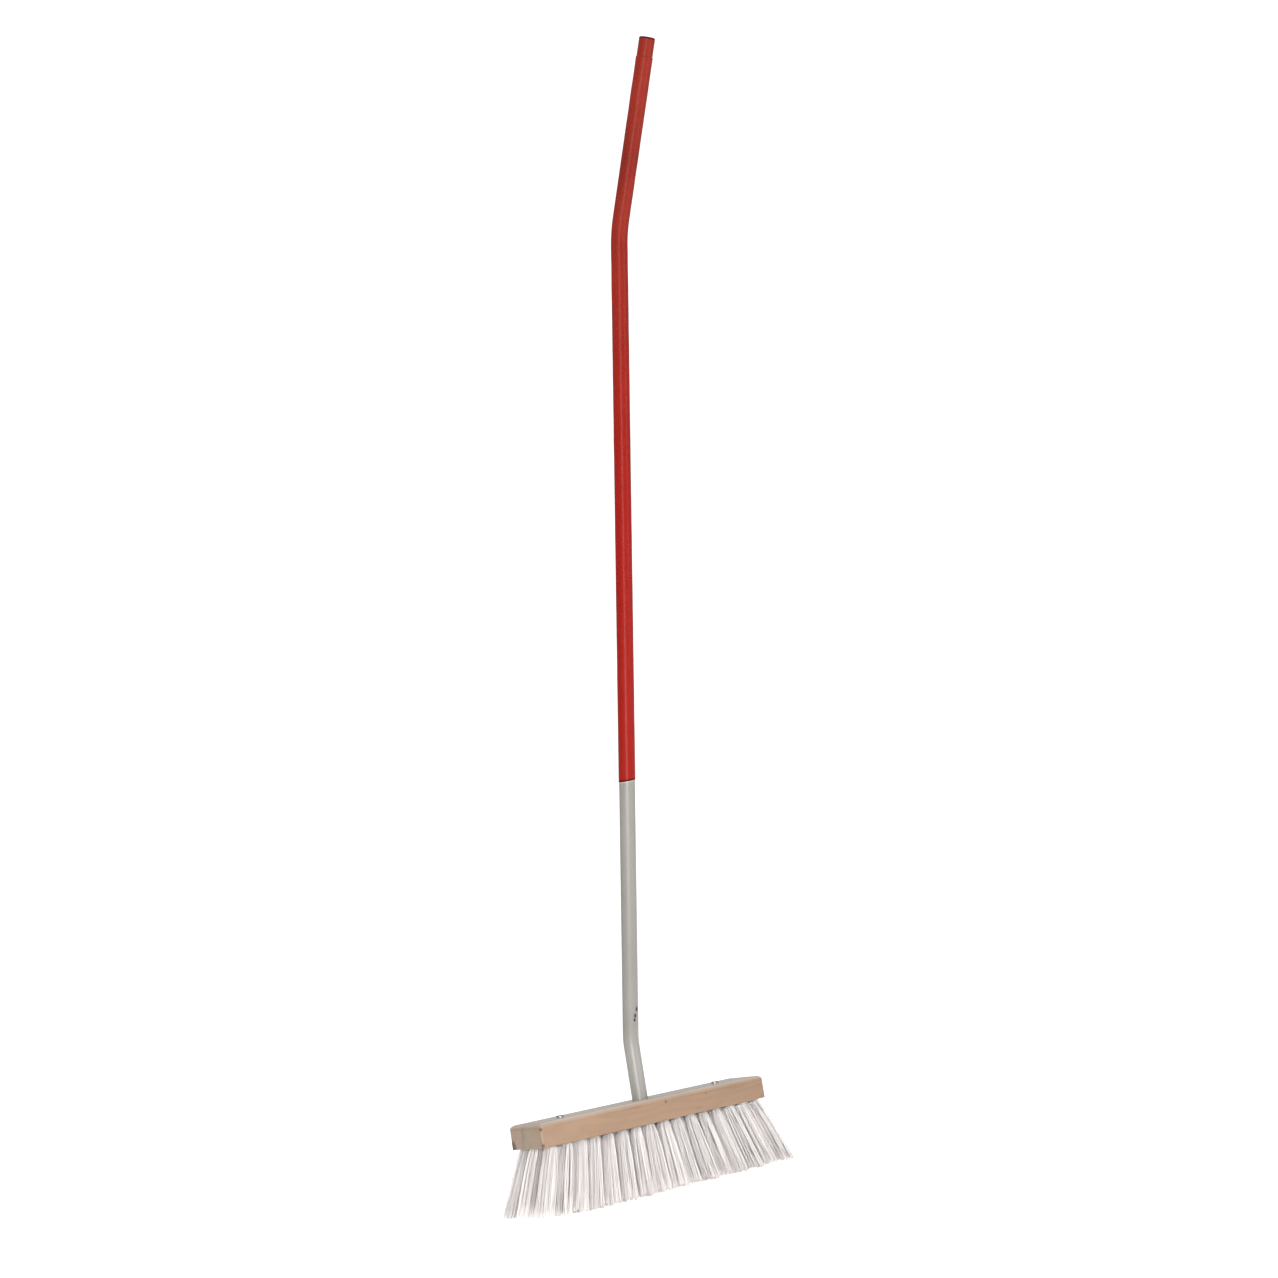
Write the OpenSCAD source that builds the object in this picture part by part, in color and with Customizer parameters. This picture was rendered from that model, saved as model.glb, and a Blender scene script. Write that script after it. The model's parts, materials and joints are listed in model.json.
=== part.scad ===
// Push broom: a wooden head with leaning bristle tufts on a bent, sleeved steel handle.
// The sweeping plane is z = 0, X runs along the head and the handle leans towards -Y.
// The origin lies in the sweeping plane, straight below the handle's socket.

/* [Head block] */
// Length of the wooden block
block_l = 400; // [340:10:500]
// Width of the wooden block, front to back
block_w = 70; // [60:1:80]
// Height of the wooden block
block_h = 32; // [27:1:40]
// Radius that eases the block's top edges
top_edge_r = 7; // [2:0.5:8]
// Radius that eases the block's lower edges
low_edge_r = 1.5; // [0.5:0.5:3]
// Radius that eases the block's upright corners
corner_r = 2; // [1:0.5:6]

/* [Bristle tufts] */
// Height from the sweeping plane to the block's underside
bristle_h = 92; // [60:2:130]
// Number of tufts in the front row, one more than in the row behind it
front_tufts = 16; // [12:2:16]
// Distance from the block's end to the first tuft
end_margin = 20; // [16:1:30]
// Distance from the block's side to the outer row
side_margin = 9.5; // [8:0.5:15]
// Diameter of the drilled tuft hole
hole_d = 9.5; // [7:0.5:10]
// Depth of the drilled tuft hole
hole_depth = 18; // [14:0.5:20]
// Outward lean of a tuft at the block's end, in degrees
end_lean = 22; // [10:1:24]
// Outward lean of a tuft in the outer row, in degrees
side_lean = 6; // [2:1:12]
// Largest spread of a tuft at its tip
tip_d = 21; // [14:1:24]

/* [Handle] */
// Outside diameter of the steel tube
tube_d = 22; // [20:0.5:25]
// Wall of the steel tube
tube_wall = 1; // [0.8:0.1:2]
// Depth of the handle's socket in the block
socket_depth = 24; // [18:1:25]
// Height of the lower bend's corner above the block
stem_l = 81; // [60:1:150]
// Distance between the corners of the two bends
middle_l = 1120; // [900:10:1200]
// Distance from the upper bend's corner to the handle's end
grip_l = 262; // [200:2:320]
// Lean of the middle stretch towards the user, in degrees
middle_lean = 13; // [0.5:0.5:20]
// Lean of the grip towards the user, in degrees
grip_lean = 27.5; // [21:0.5:40]
// Centreline radius of the lower bend
lower_bend_r = 80; // [60:5:120]
// Centreline radius of the upper bend
upper_bend_r = 150; // [100:5:200]

/* [Grip sleeve and plug] */
// Distance from the lower bend's corner to the sleeve's lower edge
sleeve_start = 360; // [200:10:600]
// Wall of the plastic sleeve
sleeve_wall = 0.5; // [0.4:0.1:1.5]
// Length of the plug's head beyond the sleeve
plug_head_l = 26; // [10:1:40]
// Length of the plug's shank inside the tube
plug_shank_l = 32; // [15:1:50]

/* [Fasteners] */
// Distance of each top screw from the handle
top_screw_x = 140; // [100:1:145]
// Head diameter of the top screws
top_screw_head_d = 10; // [8:0.5:12]
// Height of the handle screw below the block's top
handle_screw_drop = 12; // [8:1:14]

/* [Hidden] */
$fn = 64;

// Rows of tufts, front to back: odd rows hold front_tufts, even rows one fewer
tuft_rows = 5;
row_y = [for (row = [0:tuft_rows - 1]) (row / (tuft_rows - 1) - 0.5) * (block_w - 2 * side_margin)];
pitch = (block_l - 2 * end_margin) / (front_tufts - 1);
first_x = end_margin - block_l / 2;
columns = 2 * front_tufts - 1;

// Heights
underside_z = bristle_h;
top_z = bristle_h + block_h;

// Distances of the lines that the leaning tufts fan out from, above the underside
fan_x = -first_x / tan(end_lean);
fan_y = row_y[tuft_rows - 1] / tan(side_lean);

// Tuft sizes: the shank fills its hole, and the tip stays clear of its neighbours
shank_gap = 0.15;
shank_r = hole_d / 2 - shank_gap;
tip_pitch = pitch / 2 * (1 + bristle_h / fan_x);
tip_row_gap = (row_y[1] - row_y[0]) * (1 + bristle_h / fan_y);
tip_r = min(tip_d / 2, 0.47 * norm([tip_pitch, tip_row_gap]));
// The shank stays straight until a leaning tuft has left its hole on every side
straight_below = hole_d / 2 * tan(end_lean) + 0.6;
// Tufts nearer to the handle than this would run into its socket
socket_clear = tube_d / 2 + hole_d / 2 + 1;

// Flat wire anchors
anchor_l = hole_d + 1.6;
anchor_t = 0.4;
anchor_h = 2.2;
anchor_lift = hole_depth - 4.2;
anchor_gap = 0.1;

// Handle
fit_gap = 0.1;
tube_r = tube_d / 2;
bore_r = tube_r - tube_wall;
sleeve_gap = 0.17;
sleeve_r = tube_r + sleeve_gap + sleeve_wall;
upper_turn = grip_lean - middle_lean;
lower_tangent = lower_bend_r * tan(middle_lean / 2);
upper_tangent = upper_bend_r * tan(upper_turn / 2);
foot_l = socket_depth + stem_l - lower_tangent;
middle_straight = middle_l - lower_tangent - upper_tangent;
grip_straight = grip_l - upper_tangent - plug_head_l;
sleeve_offset = sleeve_start - lower_tangent;
plug_edge_r = 2;
// How much the wall swells at a bend, and how far the straight stretches run into it
bend_swell = 0.06;
bend_lap = 1;

// Screws
screw_d = 4;
screw_gap = 0.1;
pan_h = 2.4;
pan_edge_r = 1.6;
pan_shank_l = 14;
point_l = 4;
slot_w = 1.2;
slot_depth = 1.2;
csk_head_d = 8;
csk_head_h = 2.4;
csk_sink = 0.3;
handle_screw_l = block_w / 2 - tube_r + 8;

// A column holds the odd rows or the even rows, in turn along the head
function column_x(c) = first_x + c * pitch / 2;
function is_clear(x, y) = norm([x, y]) > socket_clear;
function rows_of(c) = [for (row = [c % 2:2:tuft_rows - 1]) if (is_clear(column_x(c), row_y[row])) row];

// The columns that hold tufts: the socket leaves no room for the middle one
filled = [for (c = [0:columns - 1]) if (len(rows_of(c)) > 0) c];
column_names = [for (k = [1:len(filled)]) str("tuft_column_", k < 10 ? "0" : "", k)];
anchor_names = [for (row = [1:tuft_rows]) str("anchors_row_", row)];

// Places its children in the frame of one tuft: origin at the hole's mouth, -Z along the bristles
module at_tuft(c, row) {
    lean_about_y = -atan(column_x(c) / fan_x);
    lean_about_x = atan(row_y[row] / fan_y * cos(lean_about_y));
    translate([column_x(c), row_y[row], underside_z]) rotate([lean_about_x, lean_about_y, 0]) children();
}

module every_tuft() {
    for (c = filled) for (row = rows_of(c)) at_tuft(c, row) children();
}

// The flat wire across the bottom of a hole, grown by gap on every side
module anchor_wire(gap = 0) {
    translate([0, 0, anchor_lift + anchor_h / 2])
        cube([anchor_l + 2 * gap, anchor_t + 2 * gap, anchor_h + 2 * gap], center = true);
}

module tuft_hole() {
    translate([0, 0, -hole_d]) cylinder(d = hole_d, h = hole_depth + hole_d);
    anchor_wire(anchor_gap);
}

// One tuft: a straight shank in the hole, then a cone that spreads to the tip
module tuft_solid() {
    cone_l = 1.3 * bristle_h;
    spread = (tip_r - shank_r) / (bristle_h - straight_below);
    difference() {
        union() {
            translate([0, 0, -straight_below])
                cylinder(r = shank_r, h = straight_below + hole_depth - shank_gap);
            translate([0, 0, -straight_below - cone_l])
                cylinder(r1 = shank_r + spread * cone_l, r2 = shank_r, h = cone_l);
        }
        anchor_wire(anchor_gap);
    }
}

// A w by h rectangle that stands on the X axis, with rounded upper and lower corners
module eased_rectangle(w, h, upper_r, lower_r) {
    for (side = [-1, 1]) {
        translate([side * (w / 2 - upper_r), h - upper_r]) circle(upper_r);
        translate([side * (w / 2 - lower_r), lower_r]) circle(lower_r);
    }
    translate([-w / 2, lower_r]) square([w, h - lower_r - upper_r]);
    translate([-w / 2 + lower_r, 0]) square([w - 2 * lower_r, h - upper_r]);
    translate([-w / 2 + upper_r, lower_r]) square([w - 2 * upper_r, h - lower_r]);
}

// The block before drilling: three crossing extrusions ease all of its edges
module block_blank() {
    translate([0, 0, underside_z]) intersection() {
        translate([-block_l / 2, 0, 0]) rotate([90, 0, 90]) linear_extrude(block_l)
            eased_rectangle(block_w, block_h, top_edge_r, low_edge_r);
        translate([0, block_w / 2, 0]) rotate([90, 0, 0]) linear_extrude(block_w)
            eased_rectangle(block_l, block_h, top_edge_r, low_edge_r);
        linear_extrude(block_h) translate([0, -block_w / 2])
            eased_rectangle(block_l, block_w, corner_r, corner_r);
    }
}

// Places its children at the bottom of the socket, +Z up the handle
module at_foot() {
    translate([0, 0, top_z - socket_depth]) children();
}

// Carries its children round a bend that starts at their origin and turns towards -Y
module past_bend(bend_r, angle) {
    translate([0, -bend_r, 0]) rotate([angle, 0, 0]) translate([0, bend_r, 0]) children();
}

module at_middle() {
    at_foot() translate([0, 0, foot_l]) past_bend(lower_bend_r, middle_lean) children();
}

module at_grip() {
    at_middle() translate([0, 0, middle_straight]) past_bend(upper_bend_r, upper_turn) children();
}

module straight_tube(outer_r, inner_r, length) {
    linear_extrude(length) difference() {
        circle(outer_r);
        circle(inner_r);
    }
}

// A tube round a bend that starts at the origin, upwards, and turns towards -Y; the wall swells a little
module bent_tube(outer_r, inner_r, bend_r, angle) {
    translate([0, -bend_r, 0]) rotate([90, 0, 90]) rotate_extrude(angle = angle) translate([bend_r, 0])
        difference() {
            circle(outer_r + bend_swell);
            circle(inner_r - bend_swell);
        }
}

// The foot of the handle and its lower bend
module lower_run(outer_r, inner_r) {
    at_foot() straight_tube(outer_r, inner_r, foot_l + bend_lap);
    at_foot() translate([0, 0, foot_l]) bent_tube(outer_r, inner_r, lower_bend_r, middle_lean);
}

// The middle stretch from start_l along it, the upper bend and the grip
module upper_run(outer_r, inner_r, start_l) {
    at_middle() translate([0, 0, start_l])
        straight_tube(outer_r, inner_r, middle_straight - start_l + bend_lap);
    at_middle() translate([0, 0, middle_straight]) bent_tube(outer_r, inner_r, upper_bend_r, upper_turn);
    at_grip() translate([0, 0, -bend_lap]) straight_tube(outer_r, inner_r, grip_straight + bend_lap);
}

// Places its children at the handle screw's head, +Z out of the block's rear face
module at_handle_screw() {
    translate([0, block_w / 2 - csk_sink, top_z - handle_screw_drop]) rotate([-90, 0, 0]) children();
}

module at_top_screws() {
    for (side = [-1, 1]) translate([side * top_screw_x, 0, top_z]) children();
}

// A pointed screw shank that ends at the origin, with its point downwards
module screw_shank(length) {
    translate([0, 0, point_l - length]) cylinder(d = screw_d, h = length - point_l);
    translate([0, 0, -length]) cylinder(d1 = 0.6, d2 = screw_d, h = point_l);
}

module head_block() {
    color("burlywood") difference() {
        block_blank();
        every_tuft() tuft_hole();
        at_foot() cylinder(r = tube_r + fit_gap, h = socket_depth + 1);
        at_top_screws() translate([0, 0, -pan_shank_l - screw_gap])
            cylinder(d = screw_d + 2 * screw_gap, h = pan_shank_l + 1);
        at_handle_screw() {
            translate([0, 0, -handle_screw_l]) cylinder(d = screw_d + 2 * screw_gap, h = handle_screw_l);
            translate([0, 0, -csk_head_h - screw_gap])
                cylinder(d1 = screw_d, d2 = csk_head_d + 2 * screw_gap, h = csk_head_h + screw_gap);
            cylinder(d = csk_head_d + 2 * screw_gap, h = 1);
        }
    }
}

module handle_tube() {
    color("silver") difference() {
        union() {
            lower_run(tube_r, bore_r);
            upper_run(tube_r, bore_r, -bend_lap);
        }
        at_handle_screw() translate([0, 0, -handle_screw_l])
            cylinder(d = screw_d + 2 * screw_gap, h = handle_screw_l);
    }
}

module grip_sleeve() {
    color("firebrick") upper_run(sleeve_r, tube_r + sleeve_gap, sleeve_offset);
}

module end_plug() {
    color("firebrick") at_grip() translate([0, 0, grip_straight]) {
        translate([0, 0, -plug_shank_l]) cylinder(r = bore_r - fit_gap, h = plug_shank_l);
        rotate_extrude() {
            square([tube_r - plug_edge_r, plug_head_l]);
            square([tube_r, plug_head_l - plug_edge_r]);
            translate([tube_r - plug_edge_r, plug_head_l - plug_edge_r]) intersection() {
                circle(plug_edge_r);
                square(plug_edge_r);
            }
        }
    }
}

module handle_screw() {
    color("lightgray") at_handle_screw() difference() {
        union() {
            screw_shank(handle_screw_l);
            translate([0, 0, -csk_head_h]) cylinder(d1 = screw_d, d2 = csk_head_d, h = csk_head_h);
        }
        for (turn = [0, 90]) rotate(turn) translate([0, 0, -slot_depth / 2])
            cube([0.6 * csk_head_d, slot_w, slot_depth + 0.01], center = true);
    }
}

module top_screws() {
    head_r = top_screw_head_d / 2;
    color("lightgray") at_top_screws() difference() {
        union() {
            screw_shank(pan_shank_l);
            cylinder(r = head_r, h = pan_h - pan_edge_r);
            translate([0, 0, pan_h - pan_edge_r]) rotate_extrude() {
                square([head_r - pan_edge_r, pan_edge_r]);
                translate([head_r - pan_edge_r, 0]) intersection() {
                    circle(pan_edge_r);
                    square(pan_edge_r);
                }
            }
        }
        translate([0, 0, pan_h - slot_depth / 2])
            cube([2 * head_r + 1, slot_w, slot_depth + 0.01], center = true);
    }
}

// The tufts of one column, trimmed flat at the sweeping plane
module tuft_column(c) {
    color("whitesmoke") intersection() {
        for (row = rows_of(c)) at_tuft(c, row) tuft_solid();
        translate([-block_l, -block_w, 0]) cube([2 * block_l, 2 * block_w, top_z]);
    }
}

module anchors_row(row) {
    color("gray") for (c = filled) if (len(search(row, rows_of(c))) > 0) at_tuft(c, row) anchor_wire();
}

head_block();
handle_tube();
grip_sleeve();
end_plug();
handle_screw();
top_screws();
for (k = [0:len(filled) - 1]) tuft_column(filled[k]);
for (row = [0:tuft_rows - 1]) anchors_row(row);
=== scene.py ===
"""The push broom's looks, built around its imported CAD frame. Lengths are metres."""
import json
import math

import bmesh
import bpy
import numpy as np
from mathutils import Matrix, Vector


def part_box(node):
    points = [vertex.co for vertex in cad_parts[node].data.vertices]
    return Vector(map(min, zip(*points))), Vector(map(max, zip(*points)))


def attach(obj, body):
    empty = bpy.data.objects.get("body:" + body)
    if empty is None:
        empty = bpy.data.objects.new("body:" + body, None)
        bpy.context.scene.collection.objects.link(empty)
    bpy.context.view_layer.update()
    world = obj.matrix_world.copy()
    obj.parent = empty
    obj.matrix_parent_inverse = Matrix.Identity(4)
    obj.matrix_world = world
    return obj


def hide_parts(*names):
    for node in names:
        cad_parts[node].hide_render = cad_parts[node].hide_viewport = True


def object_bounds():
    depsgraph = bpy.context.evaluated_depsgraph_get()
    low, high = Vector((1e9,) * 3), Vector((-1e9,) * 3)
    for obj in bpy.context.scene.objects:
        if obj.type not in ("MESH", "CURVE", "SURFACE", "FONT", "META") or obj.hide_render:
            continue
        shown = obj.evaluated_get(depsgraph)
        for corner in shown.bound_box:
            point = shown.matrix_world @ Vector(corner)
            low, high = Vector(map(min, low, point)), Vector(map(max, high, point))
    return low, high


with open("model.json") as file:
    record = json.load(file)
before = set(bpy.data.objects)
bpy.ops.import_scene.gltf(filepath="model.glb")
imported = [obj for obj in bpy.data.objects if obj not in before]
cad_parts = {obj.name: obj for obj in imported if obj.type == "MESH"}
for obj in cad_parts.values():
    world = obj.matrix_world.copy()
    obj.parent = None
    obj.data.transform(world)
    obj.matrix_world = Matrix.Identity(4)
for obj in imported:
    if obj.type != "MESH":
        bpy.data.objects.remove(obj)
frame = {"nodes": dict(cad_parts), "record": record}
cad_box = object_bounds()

BODY = "root"

# Places that the frame gives
BLOCK_LOW, BLOCK_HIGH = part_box("head_block")
BLOCK_TOP = BLOCK_HIGH.z
UNDERSIDE = BLOCK_LOW.z
CAD_REACH = cad_box[1].x

# Camera, seen from the middle of the block's top face
CAMERA_OFFSET = Vector((-1.7259, -2.1378, 0.1704))
VIEW_AZIMUTH = math.radians(41.03)
VIEW_PITCH = math.radians(9.63)
VIEW_ROLL = math.radians(9.32)
LENS_MM = 54.67

# Studio. A light wall all round, with a dim screen behind the broom
DOME_R = 12.0
FLOOR_GLOW = 0.75
BACKDROP_GLOW = 1.2
WORLD_LIGHT = 0.54
SCREEN_LIGHT = 0.14
# Area lights: name, place, target, width, height, and the level that add_softbox explains
SOFTBOXES = [("key", (-2.1, -2.42, 0.85), (0, 0, 0.55), 0.6, 1.7, 0.43),
             ("low", (-0.98, -1.2, 0.2), (0, 0, 0.13), 0.55, 0.42, 0.33),
             ("side", (1.35, -2.9, 1.0), (0, 0, 0.7), 0.5, 2.0, 0.20),
             ("top", (0, 0.3, 2.9), (0, 0, 0.12), 1.6, 1.6, 0.36)]

# Marks on the block's front face: x, drop below the top, size, stretch along X, colour, strength.
# The dark spots on the left front edge are chips, painted dark as shade in their hollows.
KNOT_BROWN = (0.075, 0.034, 0.021)
GRAIN_RED = (0.20, 0.095, 0.056)
CHIP_SHADE_BROWN = (0.065, 0.032, 0.018)
FRONT_MARKS = [(0.016, 0.0076, 0.0014, 1.0, KNOT_BROWN, 0.9), (0.090, 0.0080, 0.0010, 1.2, KNOT_BROWN, 0.6),
               (-0.038, 0.0065, 0.0012, 7.0, GRAIN_RED, 0.55), (0.073, 0.0245, 0.0012, 4.0, GRAIN_RED, 0.4),
               (0.118, 0.0230, 0.0009, 3.0, GRAIN_RED, 0.5), (0.126, 0.0200, 0.0007, 4.0, GRAIN_RED, 0.5),
               (-0.1993, 0.0080, 0.0015, 1.0, CHIP_SHADE_BROWN, 0.9),
               (-0.1993, 0.0285, 0.0015, 1.0, CHIP_SHADE_BROWN, 0.9)]
# The splintered lower corner at the block's left end, painted dark as shade in its hollow: distance from
# the rear face, height above the underside, size, stretch along Z
SPLINTER_INSET = 0.0035
SPLINTER_RISE = 0.0040
SPLINTER_SIZE = 0.0038
SPLINTER_STRETCH = 1.4
# The pith that the block's growth rings run round: distance behind the middle, drop below the underside
PITH_BEHIND = 0.16
PITH_DROP = 0.02

# Handle
LOWER_BEND_R = 0.080
UPPER_BEND_R = 0.150
TUBE_R = 0.011
TUBE_WALL = 0.001
PLUG_R = 0.011
HANDLE_SIDES = 96
RING_STEP = 0.004
BEND_STEP = math.radians(0.5)
# Paint chips: distance up the tube from the middle of the lower bend, turn round the tube, size
CHIPS = [(0.0445, -1.342, 0.0019), (0.0358, -1.621, 0.0016), (0.0300, -1.709, 0.0014)]
# Painted light: the foot's paint is made paler, for the brighter light on the upright foot, up to this
# height above the block's top
PAINTED_LIGHT_FOOT = 0.100
# The sleeve's lower edge is cut askew: lowest on the side at CUT_TURN round the tube, and square again
# CUT_FADE further up. A pale line on the paint fades out over CUT_LINE below the edge.
CUT_TILT = 0.0018
CUT_TURN = math.radians(141)
CUT_FADE = 0.020
CUT_LINE = 0.0016
SLEEVE_GLOSS = 0.08
# How far the sleeve's rims are rounded, and the gap between its bore and the tube
SLEEVE_LIP = 0.0004
SLEEVE_GAP = 0.00005
# The thin sleeve's waviness: how many waves are added up, and the size of each
SLEEVE_WAVES = 14
WAVE_SIZE = 0.000022
# Depths of the painted shade at the sleeve's lower edge and the plug's top, where the rims fall into shadow
CUT_RIM_SHADE = 0.0046
PLUG_RIM_SHADE = 0.0034
# Where hands hold the sleeve, back from the handle's end
GRIP_BACK = 0.08

# Bristle filaments
FILAMENTS = 220
FILAMENT_R = 0.00038
FILAMENT_SIDES = 5
FILAMENT_RINGS = 9
ROOT_DEPTH = 0.004
# A tuft's spread at a share t of its length goes as t to this power: outer rows, inner rows
FLARES = (0.36, 0.22)
# Tufts at the head's ends spread sooner by this much
END_FLARE = 0.21
MIN_FLARE = 0.12
# Filaments draw together into this many clumps near their tips, by this share of the way
CLUMPS = 17
CLUMP_PULL = 0.36
# Spread at the tip against the CAD tuft, and how far the tip strays sideways: outer rows, inner rows
TIP_SPREAD = (1.24, 1.50)
TUFT_STRAY = (0.0012, 0.0026)
# Tufts within this reach of the handle's socket, where some are left out, spread wider
SOCKET_REACH = 0.034
SOCKET_SPREAD = 1.3
# Filaments that stray: their share, and how far the rest scatter and bow
STRAY_SHARE = 0.03
TIP_SCATTER = 0.0006
BOW = 0.0005
# Rings crowd towards the roots: a ring's place is its share of the length to this power
RING_POWER = 2.5
# How far the trim has worn up from the sweeping plane, at most: single filaments, whole tufts, clumps,
# and the head's left and right ends
TIP_WEAR = 0.0003
TUFT_WEAR = 0.0014
CLUMP_WEAR = 0.0060
END_WEAR = (0.0068, 0.0010)
# Dust and painted shade at the roots reach this far below the block
DUST_SHADE_DEPTH = 0.013
SEED = 5


# ---------------------------------------------------------------- mesh helpers

def add_piece(name, verts, faces, material, slot, *nodes):
    """A smooth mesh piece on the broom's body that stands for the CAD nodes named last."""
    mesh = bpy.data.meshes.new(name)
    mesh.from_pydata(verts, [], faces)
    mesh.materials.append(material)
    mesh.polygons.foreach_set("use_smooth", [True] * len(mesh.polygons))
    mesh.update()
    piece = bpy.data.objects.new(name, mesh)
    bpy.context.scene.collection.objects.link(piece)
    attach(piece, BODY)
    if nodes:
        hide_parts(*nodes)
    return piece


def sides_of_grid(rings, sides, first=0):
    """Quads between neighbouring closed rings of a grid of points."""
    ring, side = np.meshgrid(np.arange(rings - 1), np.arange(sides), indexing="ij")
    here = first + ring * sides + side
    beside = first + ring * sides + (side + 1) % sides
    quads = np.stack([here, beside, beside + sides, here + sides], axis=-1)
    return quads.reshape(-1, 4)


def merged_points(node):
    """The CAD node's islands, each an array of its corner points, with doubled corners merged."""
    work = bmesh.new()
    work.from_mesh(frame["nodes"][node].data)
    bmesh.ops.remove_doubles(work, verts=work.verts, dist=1e-6)
    unseen = set(work.verts)
    islands = []
    while unseen:
        front = [unseen.pop()]
        island = []
        while front:
            vert = front.pop()
            island.append(vert.co.copy())
            for edge in vert.link_edges:
                other = edge.other_vert(vert)
                if other in unseen:
                    unseen.remove(other)
                    front.append(other)
        islands.append(np.array(island))
    work.free()
    return islands


# ---------------------------------------------------------------- shader helpers

class Nodes:
    """A node tree, with nodes added one call at a time."""

    def __init__(self, tree):
        self.tree = tree
        self.nodes = tree.nodes

    def node(self, kind, **settings):
        made = self.nodes.new(kind)
        for key, value in settings.items():
            setattr(made, key, value)
        return made

    def link(self, source, target):
        self.tree.links.new(source, target)

    def put(self, value, socket):
        """Links an output to a socket, or sets the socket's own number."""
        if isinstance(value, bpy.types.NodeSocket):
            self.link(value, socket)
        else:
            socket.default_value = value

    def math(self, operation, a, b=0.0, clamp=False):
        made = self.node("ShaderNodeMath", operation=operation, use_clamp=clamp)
        self.put(a, made.inputs[0])
        self.put(b, made.inputs[1])
        return made.outputs[0]

    def vector(self, operation, a, b=(0, 0, 0)):
        """The vector result of a vector sum, or its number for DOT_PRODUCT and LENGTH."""
        made = self.node("ShaderNodeVectorMath", operation=operation)
        self.put(a, made.inputs[0])
        self.put(b, made.inputs[1])
        return made.outputs["Value" if operation in ("DOT_PRODUCT", "LENGTH") else "Vector"]

    def split(self, vector):
        """The X, Y and Z outputs of a vector."""
        made = self.node("ShaderNodeSeparateXYZ")
        self.link(vector, made.inputs[0])
        return made.outputs

    def ramp(self, value, *stops):
        """A colour or grey ramp; a stop is (place, grey) or (place, (r, g, b))."""
        made = self.node("ShaderNodeValToRGB")
        ramp = made.color_ramp
        while len(ramp.elements) < len(stops):
            ramp.elements.new(0.5)
        for element, (place, tone) in zip(ramp.elements, stops):
            element.position = place
            rgb = (tone, tone, tone) if isinstance(tone, (int, float)) else tone
            element.color = (*rgb, 1)
        self.link(value, made.inputs[0])
        return made.outputs["Color"]


class Shader(Nodes):
    """A new material with its nodes."""

    def __init__(self, name):
        self.material = bpy.data.materials.new(name)
        self.material.use_nodes = True
        super().__init__(self.material.node_tree)
        self.surface = self.nodes["Principled BSDF"]
        self.coords = self.node("ShaderNodeTexCoord").outputs["Object"]

    def set(self, **values):
        """Sets the surface shader's sockets, named with _ for a space."""
        for key, value in values.items():
            self.put(value, self.surface.inputs[key.replace("_", " ")])

    def stretched(self, scale, offset=(0, 0, 0), source=None):
        made = self.node("ShaderNodeMapping")
        made.inputs["Scale"].default_value = scale
        made.inputs["Location"].default_value = offset
        self.link(source or self.coords, made.inputs["Vector"])
        return made.outputs["Vector"]

    def noise(self, vector, scale, detail=3.0, roughness=0.5, distortion=0.0):
        made = self.node("ShaderNodeTexNoise")
        self.link(vector, made.inputs["Vector"])
        for key, value in (("Scale", scale), ("Detail", detail),
                           ("Roughness", roughness), ("Distortion", distortion)):
            made.inputs[key].default_value = value
        return made.outputs["Fac"]

    def mix(self, share, a, b, blend="MIX"):
        made = self.node("ShaderNodeMix", data_type="RGBA", blend_type=blend)
        self.put(share, made.inputs["Factor"])
        for value, socket in ((a, made.inputs["A"]), (b, made.inputs["B"])):
            self.put((*value, 1) if isinstance(value, tuple) else value, socket)
        return made.outputs["Result"]

    def near(self, centre, radius, soft, wobble=None, squash=(1, 1, 1)):
        """1 within radius of a point, falling to 0 over soft; wobble displaces the edge."""
        offset = self.vector("MULTIPLY", self.vector("SUBTRACT", self.coords, centre), squash)
        distance = self.vector("LENGTH", offset)
        if wobble is not None:
            distance = self.math("ADD", distance, wobble)
        return self.math("DIVIDE", self.math("SUBTRACT", radius + soft, distance), soft, clamp=True)

    def along(self, origin, direction):
        """How far a point lies from origin along direction, in metres."""
        return self.vector("DOT_PRODUCT", self.vector("SUBTRACT", self.coords, origin), direction)

    def bump(self, height, distance, strength=1.0, below=None):
        made = self.node("ShaderNodeBump")
        made.inputs["Strength"].default_value = strength
        made.inputs["Distance"].default_value = distance
        self.link(height, made.inputs["Height"])
        if below is not None:
            self.link(below, made.inputs["Normal"])
        self.link(made.outputs["Normal"], self.surface.inputs["Normal"])
        return made.outputs["Normal"]


# ---------------------------------------------------------------- materials

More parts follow.
